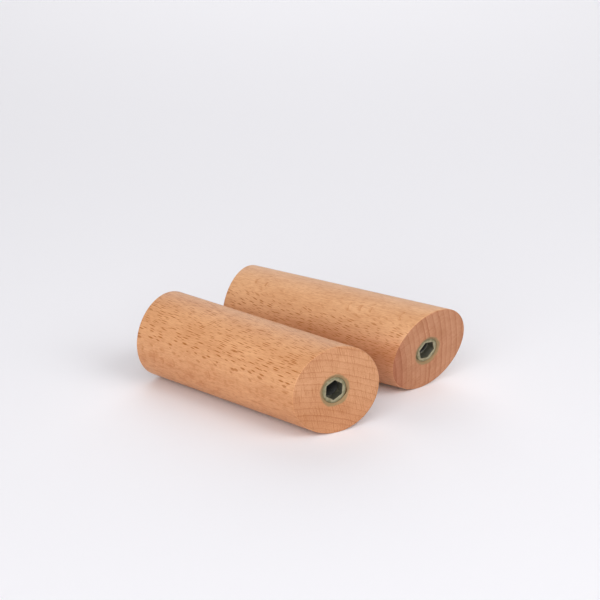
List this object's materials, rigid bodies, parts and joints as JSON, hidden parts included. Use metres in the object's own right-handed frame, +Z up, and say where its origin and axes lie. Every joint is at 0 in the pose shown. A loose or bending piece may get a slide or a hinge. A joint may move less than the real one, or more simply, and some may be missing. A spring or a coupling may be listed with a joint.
{
  "type": "slanted wooden wall peg pair",
  "caption": "Round beech wall pegs, cut square at one end and on the slant at the other, with a hexagon-socket screw insert set square into each slanted face.",
  "frame": {"origin": "middle of the pair's outline seen from above, on the surface that the pegs lie on", "axes": "+X along the front peg's axis towards its slanted end, +Y from the front peg towards the rear peg, +Z up"},
  "size_m": [0.0841, 0.0759, 0.03],
  "materials": {
    "beech": "matte",
    "yellow_zinc": "satin"
  },
  "bodies": {
    "root": {"front_peg": "beech", "front_insert": "yellow_zinc", "rear_peg": "beech", "rear_insert": "yellow_zinc"}
  },
  "joints": []
}
